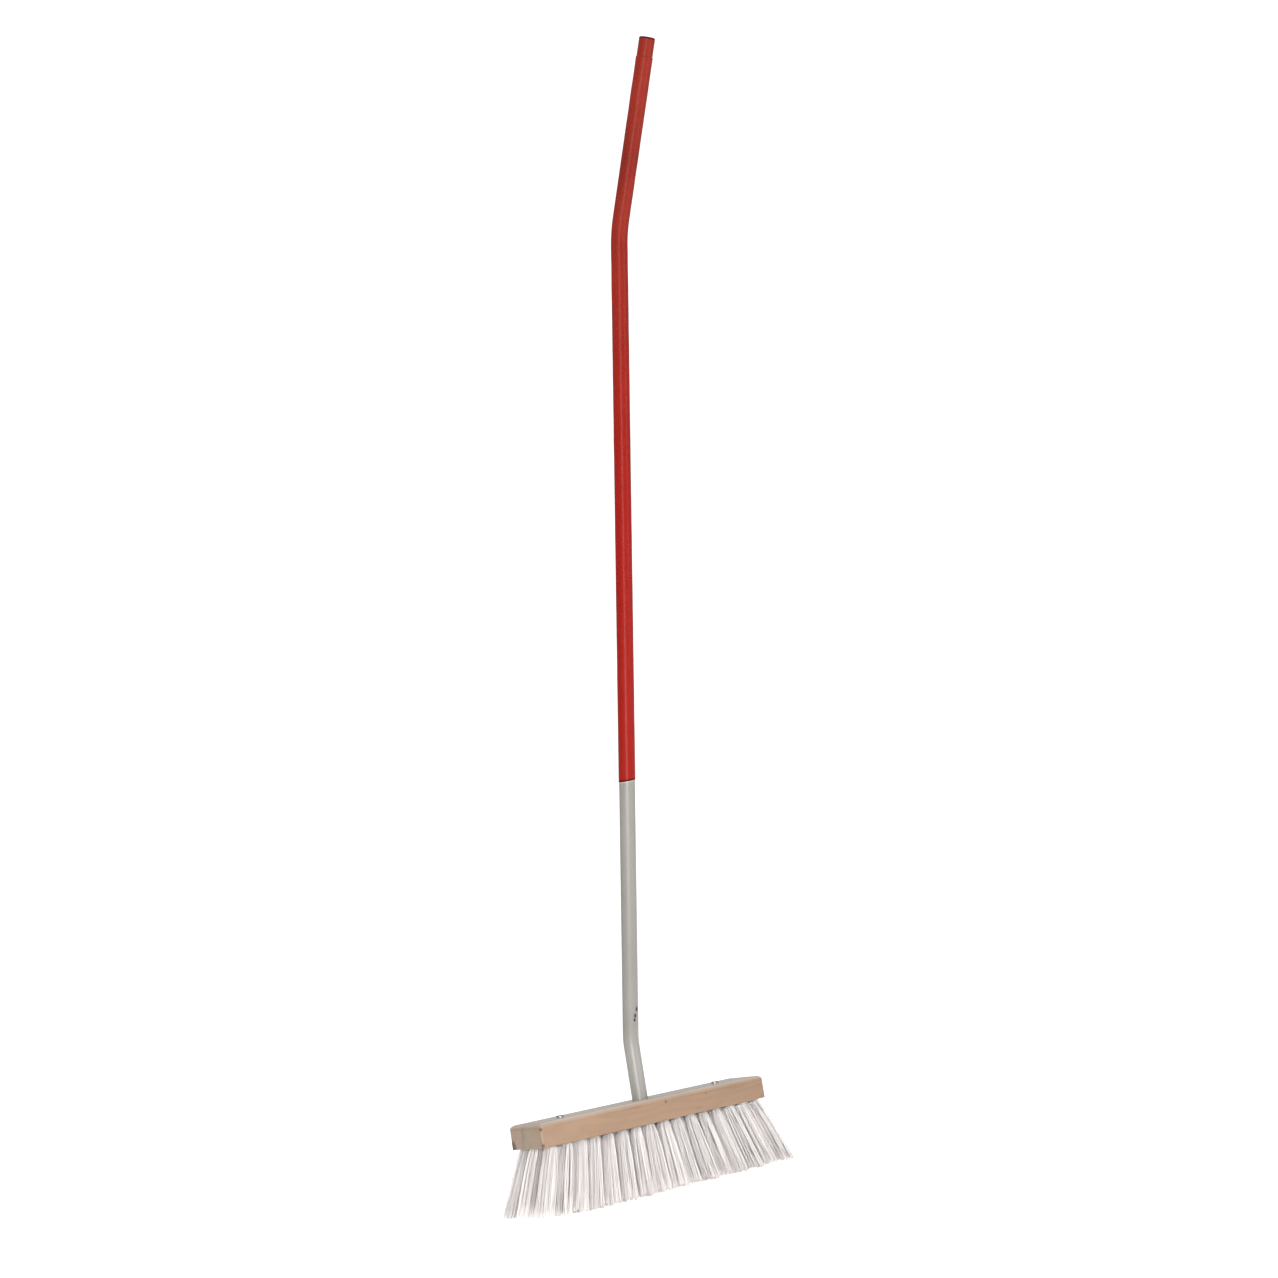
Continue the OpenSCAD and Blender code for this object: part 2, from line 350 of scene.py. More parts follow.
def paint_material(chips, cut_point, cut_slope):
    """Warm grey enamel: chips to dark steel at (point, radius) pairs, a pale line at the sleeve's edge."""
    s = Shader("tube_paint")
    clouds = s.noise(s.stretched((1, 1, 0.12)), 60, 4)
    enamel = s.ramp(clouds, (0.3, (0.190, 0.180, 0.163)), (0.7, (0.206, 0.196, 0.178)))
    # Painted light: paler paint towards the foot stands for the brighter light that falls on the upright
    # foot
    rise = s.along((0, 0, BLOCK_TOP), (0, 0, 1 / PAINTED_LIGHT_FOOT))
    enamel = s.mix(s.ramp(rise, (0.6, 0.75), (1.0, 0.0)), enamel, (0.270, 0.258, 0.240))
    rubs = s.ramp(s.noise(s.stretched((1, 1, 0.06)), 330, 5, 0.7), (0.62, 0.0), (0.72, 0.35))
    worn = s.mix(rubs, enamel, (0.172, 0.163, 0.150))
    below_cut = s.math("MULTIPLY", s.along(cut_point, cut_slope), -1)
    pale_line = s.math("SUBTRACT", 1.0, s.math("DIVIDE", below_cut, CUT_LINE), clamp=True)
    worn = s.mix(pale_line, worn, (0.46, 0.45, 0.44))
    ragged = s.math("MULTIPLY", s.math("SUBTRACT", s.noise(s.coords, 1400, 3), 0.5), 0.0014)
    bare = None
    for point, radius in chips:
        spot = s.near(point, radius, 0.0003, ragged, (1, 1, 0.6))
        bare = spot if bare is None else s.math("MAXIMUM", bare, spot)
    colour = s.mix(bare, worn, (0.014, 0.012, 0.011))
    roughness = s.ramp(clouds, (0.3, 0.34), (0.7, 0.42))
    s.set(Base_Color=colour, Roughness=s.math("ADD", roughness, s.math("MULTIPLY", bare, 0.25)),
          Specular_IOR_Level=0.5)
    peel = s.bump(s.noise(s.coords, 900, 2), 0.00003, 0.5)
    s.bump(s.math("SUBTRACT", 1.0, bare), 0.0003, 1.0, below=peel)
    return s.material


def sleeve_material(name, grip_point, shaded_rims):
    """Red PVC, duller where hands have held it; each rim, given as (point, direction, depth), is darkened
    with painted shade at its end.
    """
    s = Shader(name)
    streaks = s.noise(s.stretched((1, 1, 0.05)), 260, 4, 0.6)
    clouds = s.noise(s.stretched((1, 1, 0.35)), 26, 3)
    held = s.near(grip_point, 0.12, 0.35)
    fresh = s.ramp(streaks, (0.3, (0.215, 0.0068, 0.0038)), (0.7, (0.245, 0.0105, 0.0065)))
    dull = s.ramp(clouds, (0.25, (0.140, 0.0125, 0.0070)), (0.7, (0.225, 0.0210, 0.0120)))
    colour = s.mix(s.math("MULTIPLY", held, 0.9), fresh, dull)
    scuffs = s.ramp(s.noise(s.stretched((1, 1, 0.2)), 700, 5, 0.75), (0.68, 0.0), (0.78, 0.3))
    colour = s.mix(scuffs, colour, (0.17, 0.014, 0.009))
    gloss = SLEEVE_GLOSS
    # Painted shade: each rim gets a dark band and less gloss, for the shadow on its rounded lip
    for point, direction, depth in shaded_rims:
        ragged = s.math("MULTIPLY", s.noise(s.coords, 500, 3), 0.4 * depth)
        inside = s.math("ADD", s.along(point, direction), ragged)
        rim_shade = s.math("SUBTRACT", 1.5, s.math("DIVIDE", inside, 0.7 * depth), clamp=True)
        colour = s.mix(s.math("MULTIPLY", rim_shade, 0.9), colour, (0.030, 0.005, 0.004))
        gloss = s.math("MULTIPLY", gloss, s.math("SUBTRACT", 1.0, rim_shade))
    roughness = s.ramp(clouds, (0.25, 0.23), (0.75, 0.29))
    s.set(Base_Color=colour, Roughness=s.math("ADD", roughness, s.math("MULTIPLY", held, 0.04)),
          Specular_IOR_Level=gloss)
    fine = s.bump(s.noise(s.coords, 1600, 2), 0.00001, 0.3)
    s.bump(clouds, 0.0003, 0.5, below=fine)
    return s.material


def wood_material():
    """Lacquered beech: growth rings round an axis behind the block, flecks, knots, worn edges."""
    s = Shader("block_wood")
    # Growth rings: distance from a long axis behind the block, bent by slow noise
    bend = s.noise(s.stretched((1.6, 9, 9)), 3.0, 2)
    from_pith = s.vector("SUBTRACT", s.coords, (0, PITH_BEHIND, UNDERSIDE - PITH_DROP))
    radius = s.vector("LENGTH", s.vector("MULTIPLY", from_pith, (0.04, 1, 1)))
    rings = s.math("ADD", s.math("MULTIPLY", radius, 300), s.math("MULTIPLY", bend, 6))
    year = s.math("FRACT", rings)
    late = s.ramp(year, (0.0, 0.1), (0.5, 0.0), (0.88, 0.5), (1.0, 0.1))
    # Pores and flecks run along the grain
    pores = s.noise(s.stretched((0.05, 1, 1)), 2600, 3, 0.6)
    flecks = s.ramp(s.noise(s.stretched((0.16, 1, 1)), 1250, 2, 0.6), (0.64, 0.0), (0.70, 0.6))
    clouds = s.noise(s.stretched((0.35, 1, 1)), 34, 4, 0.6)
    light = s.ramp(clouds, (0.28, (0.222, 0.128, 0.066)), (0.5, (0.248, 0.145, 0.076)),
                   (0.72, (0.265, 0.157, 0.088)))
    place = s.split(s.coords)
    # Painted shade: the wood is made darker towards the block's right end, for the light falling off there
    share = s.math("ADD", s.math("DIVIDE", place["X"], 2 * BLOCK_HIGH.x), 0.5)
    light = s.mix(1.0, light, s.ramp(share, (0.0, (1.0, 1.0, 1.0)), (1.0, (0.93, 0.89, 0.84))), "MULTIPLY")
    dark = s.mix(1.0, light, (0.86, 0.81, 0.76), "MULTIPLY")
    colour = s.mix(late, light, dark)
    colour = s.mix(s.math("MULTIPLY", flecks, 0.45), colour, (0.185, 0.108, 0.064))
    colour = s.mix(s.ramp(pores, (0.30, 0.30), (0.5, 0.0)), colour, (0.20, 0.122, 0.074))
    # End grain soaks up dirt: it is darker and greyer, in broad bands that follow the rings
    facing = s.split(s.node("ShaderNodeNewGeometry").outputs["Normal"])
    end_face = s.ramp(s.math("ABSOLUTE", facing["X"]), (0.45, 0.0), (0.95, 1.0))
    soaked = s.ramp(year, (0.0, (0.190, 0.118, 0.070)), (0.45, (0.215, 0.138, 0.082)),
                    (0.8, (0.180, 0.132, 0.078)), (1.0, (0.115, 0.075, 0.048)))
    blotch = s.noise(s.coords, 90, 4, 0.6)
    soaked = s.mix(s.ramp(blotch, (0.4, 0.0), (0.7, 0.7)), soaked, (0.240, 0.152, 0.104))
    depth = s.math("ADD", s.math("DIVIDE", place["Y"], 2 * BLOCK_HIGH.y), 0.5)
    depth = s.math("ADD", depth, s.math("MULTIPLY", s.math("SUBTRACT", s.noise(s.coords, 55, 3), 0.5), 0.14))
    zones = s.ramp(depth, (0.0, (1.0, 0.94, 0.86)), (0.30, (0.93, 1.0, 0.96)), (0.52, (0.90, 1.0, 0.95)),
                   (0.60, (0.74, 0.72, 0.70)), (0.66, (0.98, 0.97, 0.98)), (1.0, (1.04, 0.98, 1.02)))
    soaked = s.mix(1.0, soaked, zones, "MULTIPLY")
    colour = s.mix(s.math("MULTIPLY", end_face, 0.9), colour, soaked)
    # Painted sheen: the eased top edge and the top are made pale, for the light and reflection on the upward
    # faces
    top_sheen = s.ramp(facing["Z"], (0.10, 0.0), (0.60, 0.35), (0.97, 0.84))
    sheen_colour = s.ramp(clouds, (0.3, (0.53, 0.45, 0.385)), (0.7, (0.60, 0.52, 0.45)))
    colour = s.mix(top_sheen, colour, sheen_colour)
    # Knots and grain marks on the front face
    ragged = s.math("MULTIPLY", s.math("SUBTRACT", s.noise(s.coords, 600, 3), 0.5), 0.0016)
    lacquer = 0.9
    for x, drop, size, long, tone, strength in FRONT_MARKS:
        mark = s.near((x, BLOCK_LOW.y, BLOCK_TOP - drop), size, 0.7 * size, ragged, (1 / long, 0.5, 1))
        colour = s.mix(s.math("MULTIPLY", mark, strength), colour, tone)
        # The chipped spots on the left edge lose their lacquer; their dark colour is painted shade in the
        # hollows
        if tone == CHIP_SHADE_BROWN:
            lacquer = s.math("SUBTRACT", lacquer, mark, clamp=True)
    # Painted shade: the splintered corner is painted dark, for the shadow in its hollow, and loses its
    # lacquer
    corner = (BLOCK_LOW.x, BLOCK_HIGH.y - SPLINTER_INSET, UNDERSIDE + SPLINTER_RISE)
    splinter_shade = s.near(corner, SPLINTER_SIZE, SPLINTER_SIZE, ragged, (1, 1, 1 / SPLINTER_STRETCH))
    colour = s.mix(s.math("MULTIPLY", splinter_shade, 0.95), colour, CHIP_SHADE_BROWN)
    lacquer = s.math("SUBTRACT", lacquer, splinter_shade, clamp=True)
    # Handling dirt on the upright and lower edges: where the normal lies between the faces
    biggest = s.math("MAXIMUM", s.math("ABSOLUTE", facing["X"]), s.math("ABSOLUTE", facing["Y"]))
    biggest = s.math("MAXIMUM", biggest, s.math("ABSOLUTE", facing["Z"]))
    edge = s.math("MULTIPLY", s.ramp(biggest, (0.78, 1.0), (0.97, 0.0)),
                  s.ramp(facing["Z"], (0.05, 1.0), (0.25, 0.0)))
    grime = s.ramp(s.noise(s.stretched((0.4, 1, 1)), 160, 4, 0.7), (0.45, 0.0), (0.7, 1.0))
    colour = s.mix(s.math("MULTIPLY", s.math("MULTIPLY", edge, grime), 0.35), colour, (0.20, 0.15, 0.115))
    s.set(Base_Color=colour, Roughness=s.ramp(clouds, (0.3, 0.42), (0.7, 0.52)),
          Coat_Weight=lacquer, Coat_Roughness=0.22, Coat_IOR=1.45)
    fine = s.bump(pores, 0.00012, 0.6)
    s.bump(s.ramp(year, (0.0, 0.5), (0.8, 1.0), (1.0, 0.5)), 0.0001, 0.4, below=fine)
    return s.material


def bristle_material():
    """White synthetic filament: each has its own shade; dust and painted shade at the roots, darker towards
    the tips.
    """
    s = Shader("bristle_white")
    shade = s.node("ShaderNodeAttribute", attribute_name="shade").outputs["Fac"]
    colour = s.ramp(shade, (0.0, (0.93, 0.825, 0.775)), (0.5, (0.965, 0.870, 0.825)),
                    (1.0, (0.98, 0.90, 0.865)))
    stains = s.ramp(s.noise(s.stretched((1, 1, 0.35)), 45, 3), (0.5, 0.0), (0.8, 0.3))
    colour = s.mix(stains, colour, (0.80, 0.77, 0.72))
    # Darker towards the tips, most of all in the lowest few millimetres
    height = s.along((0, 0, 0), (0, 0, 1))
    tip_darkening = s.math("SUBTRACT", 1.0, s.math("DIVIDE", height, 0.05), clamp=True)
    colour = s.mix(s.math("MULTIPLY", tip_darkening, 0.55), colour, (0.70, 0.635, 0.60))
    bottom_darkening = s.math("SUBTRACT", 1.0, s.math("DIVIDE", height, 0.008), clamp=True)
    colour = s.mix(s.math("MULTIPLY", bottom_darkening, 0.75), colour, (0.42, 0.37, 0.345))
    # Dust and painted shade at the roots: darker just under the block, for dust and for the shadow between
    # the tufts
    uneven = s.math("MULTIPLY", s.noise(s.coords, 130, 3), 0.006)
    below = s.math("ADD", s.math("SUBTRACT", UNDERSIDE, height), uneven)
    dust_and_shade = s.math("SUBTRACT", 1.0, s.math("DIVIDE", below, DUST_SHADE_DEPTH), clamp=True)
    # Painted shade is strongest between the inner rows and along the middle of the head, where the gaps fall
    # into shadow
    across = s.math("ABSOLUTE", s.along((0, 0, 0), (0, 1, 0)))
    inside = s.ramp(s.math("DIVIDE", across, BLOCK_HIGH.y), (0.50, 0.95), (0.68, 0.45))
    from_middle = s.math("ABSOLUTE", s.along((0, 0, 0), (1, 0, 0)))
    middle = s.ramp(s.math("DIVIDE", from_middle, BLOCK_HIGH.x), (0.55, 1.0), (0.75, 0.05))
    dust_and_shade = s.math("MULTIPLY", dust_and_shade, middle)
    colour = s.mix(s.math("MULTIPLY", dust_and_shade, inside), colour, (0.16, 0.12, 0.09))
    s.set(Base_Color=colour, Roughness=s.ramp(s.noise(s.coords, 700, 2), (0.3, 0.38), (0.7, 0.5)),
          Subsurface_Weight=1.0, Subsurface_Radius=(1.0, 0.95, 0.9), Subsurface_Scale=0.004)
    s.bump(s.noise(s.stretched((1, 1, 0.08)), 4000, 2), 0.00004, 0.5)
    return s.material


def steel_material(name, tint):
    """Zinc-plated steel with fine brushing and duller patches."""
    s = Shader(name)
    brushed = s.noise(s.stretched((1, 0.08, 1)), 3500, 3)
    patches = s.noise(s.coords, 500, 3)
    low = tuple(0.8 * c for c in tint)
    s.set(Base_Color=s.ramp(patches, (0.35, low), (0.65, tint)), Metallic=1.0,
          Roughness=s.ramp(patches, (0.3, 0.28), (0.7, 0.5)))
    s.bump(brushed, 0.00003, 0.6)
    return s.material


# ---------------------------------------------------------------- handle

def end_ring(node, top):
    """Centre, outward axis and outer radius of the flat ring at one end of a tube node."""
    points = np.unique(np.round(np.vstack(merged_points(node)), 7), axis=0)
    reach = 0.015
    height = points[:, 2]
    near = points[(height.max() - height if top else height - height.min()) < reach]
    centre = near.mean(axis=0)
    axis = np.linalg.svd(near - centre)[2][2]
    if (axis[2] > 0) != top:
        axis = -axis
    return centre, axis, np.linalg.norm(near - centre, axis=1).max()


def lean_of(axis):
    """Lean towards -Y of an upward or downward axis in the plane x = 0."""
    return math.atan2(-axis[1] * np.sign(axis[2]), abs(axis[2]))


class Centreline:
    """The handle's centreline in the plane x = 0: three straight stretches and two bends."""

    def __init__(self):
        mounts = {m["name"]: m for m in frame["record"]["mounts"]}
        grip = mounts["grip"]
        sleeve_ring, sleeve_axis, self.sleeve_r = end_ring("grip_sleeve", top=False)
        top_ring, _, _ = end_ring("handle_tube", top=True)
        self.leans = [0.0, lean_of(sleeve_axis), lean_of(grip["axis"])]
        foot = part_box("handle_tube")[0].z
        tan_middle, tan_grip = (math.tan(lean) for lean in self.leans[1:])
        # A line is y = -tan(lean) * (z - zero), where zero is the height at which it meets y = 0
        zero_middle = sleeve_ring[2] + sleeve_ring[1] / tan_middle
        zero_grip = grip["pos_m"][2] + grip["pos_m"][1] / tan_grip
        upper_z = (tan_grip * zero_grip - tan_middle * zero_middle) / (tan_grip - tan_middle)
        corners = [(0.0, foot), (0.0, zero_middle),
                   (-tan_middle * (upper_z - zero_middle), upper_z), (top_ring[1], top_ring[2])]
        cuts = [0.0,
                LOWER_BEND_R * math.tan(self.leans[1] / 2),
                UPPER_BEND_R * math.tan((self.leans[2] - self.leans[1]) / 2), 0.0]
        runs = [math.dist(a, b) for a, b in zip(corners, corners[1:])]
        # Each piece is (kind, start, length, first point, lean, bend radius)
        self.pieces = []
        start = 0.0
        point = Vector((0, *corners[0]))
        for k, lean in enumerate(self.leans):
            length = runs[k] - cuts[k] - cuts[k + 1]
            self.pieces.append(("line", start, length, point.copy(), lean, 0.0))
            point += length * self.direction(lean)
            start += length
            if k < 2:
                bend_r = (LOWER_BEND_R, UPPER_BEND_R)[k]
                turn = self.leans[k + 1] - lean
                self.pieces.append(("bend", start, bend_r * turn, point.copy(), lean, bend_r))
                point += bend_r * (self.inward(lean) - self.inward(lean + turn))
                start += bend_r * turn
        self.length = start
        middle = self.pieces[2]
        self.sleeve_start = middle[1] + (Vector(sleeve_ring) - middle[3]).dot(self.direction(middle[4]))

    @staticmethod
    def direction(lean):
        return Vector((0, -math.sin(lean), math.cos(lean)))

    @staticmethod
    def inward(lean):
        """Towards a bend's centre."""
        return Vector((0, -math.cos(lean), -math.sin(lean)))

    def at(self, s):
        """(point, lean) at the distance s from the foot."""
        s = float(s)
        for kind, start, length, point, lean, bend_r in reversed(self.pieces):
            if s >= start - 1e-9:
                break
        if kind == "line":
            return point + (s - start) * self.direction(lean), lean
        now = lean + (s - start) / bend_r
        return point + bend_r * (self.inward(lean) - self.inward(now)), now

    def stations(self, start, end, step):
        """Distances from start to end, closer together round the bends."""
        marks = {start, end}
        marks.update(float(s) for s in np.arange(start, end, step))
        for kind, first, length, _, _, bend_r in self.pieces:
            if kind == "bend":
                round_bend = np.arange(first, first + length, bend_r * BEND_STEP)
                marks.update(float(s) for s in round_bend if start < s < end)
        marks = sorted(marks)
        return [s for k, s in enumerate(marks) if k == 0 or s - marks[k - 1] > 1e-5]

    def surface_point(self, s, angle, radius):
        """A point on a tube of that radius; angle 0 looks along +X, a quarter turn on it looks along +Y."""
        point, lean = self.at(s)
        return point + radius * (math.cos(angle) * Vector((1, 0, 0)) - math.sin(angle) * self.inward(lean))


def lathe_along(line, profile, sides, wave=None):
    """Points and quads of a closed skin swept along a line: profile holds (distance, radius) pairs."""
    angles = np.arange(sides) / sides * math.tau
    points = []
    for s, radius in profile:
        centre, lean = line.at(s)
        across = -line.inward(lean)
        radii = radius + (wave(s, angles) if wave else 0 * angles)
        points.append(np.array(centre)[None, :]
                      + (radii * np.cos(angles))[:, None] * np.array((1.0, 0, 0))
                      + (radii * np.sin(angles))[:, None] * np.array(across)[None, :])
    grid = np.vstack(points)
    quads = sides_of_grid(len(profile), sides)
    last = (len(profile) - 1) * sides
    ring = np.arange(sides)
    seam = np.stack([last + ring, last + (ring + 1) % sides, (ring + 1) % sides, ring], axis=-1)
    return grid, np.vstack([quads, seam])


def make_tube(line, material):
    outer = [(s, TUBE_R) for s in line.stations(0.0, line.length, RING_STEP)]
    inner_r = TUBE_R - TUBE_WALL
    inner = [(s, inner_r) for s in reversed(line.stations(0.0, line.length, 4 * RING_STEP))]
    points, faces = lathe_along(line, outer + inner, HANDLE_SIDES)
    return add_piece("painted_tube", points, faces.tolist(), material, "tube_paint", "handle_tube")


def make_sleeve(line, material):
    rng = np.random.default_rng(SEED)
    end = line.length
    start = line.sleeve_start
    waves = [(rng.uniform(25, 160), rng.uniform(0, math.tau), rng.integers(0, 3), rng.uniform(0, math.tau))
             for _ in range(SLEEVE_WAVES)]

    def wave(s, angles):
        """The thin sleeve lies on the tube a little unevenly."""
        total = 0 * angles
        for rate, phase, lobes, turn in waves:
            total = total + math.sin(rate * s + phase) * np.cos(lobes * angles + turn)
        return WAVE_SIZE * total

    radius = line.sleeve_r
    outer = [(start, radius - SLEEVE_LIP), (start + 0.3 * SLEEVE_LIP, radius - 0.3 * SLEEVE_LIP),
             (start + SLEEVE_LIP, radius)]
    outer += [(s, radius) for s in line.stations(start + 0.002, end - 0.002, RING_STEP / 2)]
    outer += [(end - SLEEVE_LIP, radius), (end - 0.3 * SLEEVE_LIP, radius - 0.3 * SLEEVE_LIP),
              (end, radius - SLEEVE_LIP)]
    inner_r = TUBE_R + SLEEVE_GAP
    inner = [(s, inner_r) for s in reversed(line.stations(start, end, 4 * RING_STEP))]
    profile = outer + inner

    points, faces = lathe_along(line, profile, HANDLE_SIDES)
    angles = np.arange(HANDLE_SIDES) / HANDLE_SIDES * math.tau
    for k, (s, _) in enumerate(profile):
        centre, lean = line.at(s)
        rows = slice(k * HANDLE_SIDES, (k + 1) * HANDLE_SIDES)
        if 3 <= k < len(outer) - 3:
            points[rows] += (points[rows] - np.array(centre)) / radius * wave(s, angles)[:, None]
        drop = CUT_TILT * max(0.0, 1 - (s - start) / CUT_FADE) * np.cos(angles - CUT_TURN)
        points[rows] -= drop[:, None] * np.array(line.direction(lean))
    return add_piece("red_sleeve", points, faces.tolist(), material, "sleeve_plastic", "grip_sleeve")


# ---------------------------------------------------------------- bristles

def tuft_frames(node):
    """(mouth, downward axis, shank radius, tip radius) of each tuft in a CAD column."""
    found = []
    for points in merged_points(node):
        tips = points[points[:, 2] < 1e-4]
        axis = points[points[:, 2] > UNDERSIDE + 0.005].mean(axis=0) - tips.mean(axis=0)
        axis /= np.linalg.norm(axis)
        for _ in range(4):
            depth = (points @ axis).max() - points @ axis
            crown = points[depth < 0.0004]
            ring = points[(depth > 0.010) & (depth < 0.030)]
            top = crown.mean(axis=0)
            axis = (top - ring.mean(axis=0)) / np.linalg.norm(top - ring.mean(axis=0))
        shank_r = np.linalg.norm(crown - top, axis=1).max()
        offset = tips - top
        tip_r = np.linalg.norm(offset - (offset @ axis)[:, None] * axis, axis=1).mean()
        mouth = top + axis * (UNDERSIDE - top[2]) / axis[2]
        found.append((mouth, -axis, shank_r, tip_r))
    return sorted(found, key=lambda tuft: tuft[0][1])


def worn_height(x, nearest, rng):
    """Height of each filament's tip above the sweeping plane: the head's ends have worn most."""
    far = np.abs(x) / CAD_REACH
    ends = np.where(x < 0, END_WEAR[0], END_WEAR[1]) * far ** 5
    own = TIP_WEAR * rng.beta(1.0, 2.6, len(x))
    clump = CLUMP_WEAR * rng.uniform(0, 1, CLUMPS)[nearest] ** 2
    return ends + own + clump + TUFT_WEAR * rng.uniform(0, 1)


def filament_lines(tuft, flare, spread_by, stray_by, rng):
    """Centre points (filament, ring, 3) of one tuft's filaments, root to tip, and their shades."""
    mouth, down, shank_r, tip_r = tuft
    tip_r *= spread_by
    side = np.cross(down, (0.0, 1.0, 0.0))
    side /= np.linalg.norm(side)
    other = np.cross(down, side)
    golden = math.pi * (3 - math.sqrt(5))
    # Roots fill the hole evenly; tips keep their order and spread wider
    k = np.arange(FILAMENTS)
    turn = k * golden + rng.uniform(0, math.tau)
    share = np.sqrt((k + 0.5) / FILAMENTS)
    root = (shank_r - FILAMENT_R) * share[:, None] * np.stack([np.cos(turn), np.sin(turn)], axis=1)
    tip = root * (tip_r - FILAMENT_R) / (shank_r - FILAMENT_R) + rng.normal(0, TIP_SCATTER, (FILAMENTS, 2))
    # Neighbouring filaments draw together towards their tips
    c = np.arange(CLUMPS)
    clump_turn = rng.uniform(0, math.tau) + c * golden
    clump_r = np.sqrt((c + 0.6) / CLUMPS) * tip_r * 0.97
    clump = clump_r[:, None] * np.stack([np.cos(clump_turn), np.sin(clump_turn)], axis=1)
    nearest = np.argmin(((tip[:, None] - clump) ** 2).sum(axis=2), axis=1)
    tip += (clump[nearest] - tip) * CLUMP_PULL * rng.uniform(0.3, 1.3, (FILAMENTS, 1))
    stray = rng.uniform(0, 1, FILAMENTS) < STRAY_SHARE
    tip[stray] *= rng.uniform(1.02, 1.16, (stray.sum(), 1))
    tip += rng.normal(0, stray_by, 2)
    bow = rng.normal(0, BOW, (FILAMENTS, 2))
    steps = np.linspace(0, 1, FILAMENT_RINGS) ** RING_POWER
    fan = steps ** flare
    spread = (root[:, None] + (tip - root)[:, None] * fan[None, :, None]
              + bow[:, None] * np.sin(math.pi * steps)[None, :, None])
    # Each filament is as long as it takes to reach its own worn height
    across = spread[:, -1, :1] * side + spread[:, -1, 1:] * other
    length = (mouth[2] + across[:, 2]) / -down[2]
    tip_x = mouth[0] + across[:, 0] + length * down[0]
    height = worn_height(tip_x, nearest, rng) + FILAMENT_R
    length -= height / -down[2]
    lines = (mouth + length[:, None, None] * steps[None, :, None] * down
             + spread[:, :, :1] * side + spread[:, :, 1:] * other)
    lines = np.concatenate([lines[:, :1] - ROOT_DEPTH * down, lines], axis=1)
    shade = 0.5 + 0.16 * rng.normal(size=FILAMENTS) + 0.10 * rng.normal(size=CLUMPS)[nearest]
    return lines, np.clip(shade, 0, 1)


def filament_mesh(lines):
    """Points, quads and end faces of round filaments round those centre lines."""
    count, rings, _ = lines.shape
    run = np.gradient(lines, axis=1)
    run /= np.linalg.norm(run, axis=2, keepdims=True)
    u = np.cross(run, (1.0, 0.13, 0.0))
    u /= np.linalg.norm(u, axis=2, keepdims=True)
    v = np.cross(run, u)
    turn = np.arange(FILAMENT_SIDES) / FILAMENT_SIDES * math.tau
    points = (lines[:, :, None] + FILAMENT_R * (np.cos(turn)[:, None] * u[:, :, None]
                                                + np.sin(turn)[:, None] * v[:, :, None]))
    one = sides_of_grid(rings, FILAMENT_SIDES)
    per = rings * FILAMENT_SIDES
    first = (np.arange(count) * per)[:, None, None]
    quads = (first + one[None]).reshape(-1, 4)
    ring = np.arange(FILAMENT_SIDES)
    tips = (first[:, 0] + per - FILAMENT_SIDES + ring).tolist()
    roots = (first[:, 0] + ring[::-1]).tolist()
    return points.reshape(-1, 3), quads.tolist() + tips + roots


def make_bristles(material):
    rng = np.random.default_rng(SEED)
    columns = {node: tuft_frames(node) for node in sorted(frame["nodes"]) if node.startswith("tuft_column_")}
    outer_row = 0.9 * max(abs(tuft[0][1]) for column in columns.values() for tuft in column)
    for node, column in columns.items():
        points, faces, shades = [], [], []
        for tuft in column:
            inner = int(abs(tuft[0][1]) < outer_row)
            flare = max(MIN_FLARE, FLARES[inner] - END_FLARE * (tuft[0][0] / BLOCK_HIGH.x) ** 2)
            spread = TIP_SPREAD[inner]
            if math.hypot(*tuft[0][:2]) < SOCKET_REACH:
                spread *= SOCKET_SPREAD
            lines, shade = filament_lines(tuft, flare, spread, TUFT_STRAY[inner], rng)
            new_points, new_faces = filament_mesh(lines)
            first = sum(len(p) for p in points)
            points.append(new_points)
            faces += [[first + corner for corner in face] for face in new_faces]
            shades.append(np.repeat(shade, lines.shape[1] * FILAMENT_SIDES))
        name = node.replace("tuft_column", "bristles")
        piece = add_piece(name, np.vstack(points), faces, material, "bristle_white", node)
        layer = piece.data.attributes.new("shade", "FLOAT", "POINT")
        layer.data.foreach_set("value", np.concatenate(shades).astype(np.float32))


# ---------------------------------------------------------------- stage

def make_camera():
    data = bpy.data.cameras.new("camera")
    data.lens = LENS_MM
    data.sensor_width = 36
    data.clip_end = 200
    camera = bpy.data.objects.new("camera", data)
    bpy.context.scene.collection.objects.link(camera)
    level = math.cos(VIEW_PITCH)
    view = Vector((math.sin(VIEW_AZIMUTH) * level, math.cos(VIEW_AZIMUTH) * level, math.sin(VIEW_PITCH)))
    right = Vector((math.cos(VIEW_AZIMUTH), -math.sin(VIEW_AZIMUTH), 0))
    right = math.cos(VIEW_ROLL) * right - math.sin(VIEW_ROLL) * right.cross(view)
    up = right.cross(view)
    camera.matrix_world = Matrix.Translation(Vector((0, 0, BLOCK_TOP)) + CAMERA_OFFSET) @ Matrix(
        (right, up, -view)).transposed().to_4x4()
    bpy.context.scene.camera = camera


def glow_material(name, strength, albedo):
    """A pale surface that also glows a little, as a lit table or backdrop does."""
    s = Shader(name)
    s.set(Base_Color=(albedo, albedo, albedo, 1), Roughness=0.9, Specular_IOR_Level=0.0,
          Emission_Color=(1, 1, 1, 1), Emission_Strength=strength)
    return s.material


def add_stage(name, shape, material):
    """A stage object from a bmesh, which is freed."""
    mesh = bpy.data.meshes.new(name)
    shape.to_mesh(mesh)
    shape.free()
    mesh.materials.append(material)
    stage = bpy.data.objects.new(name, mesh)
    bpy.context.scene.collection.objects.link(stage)
    return stage


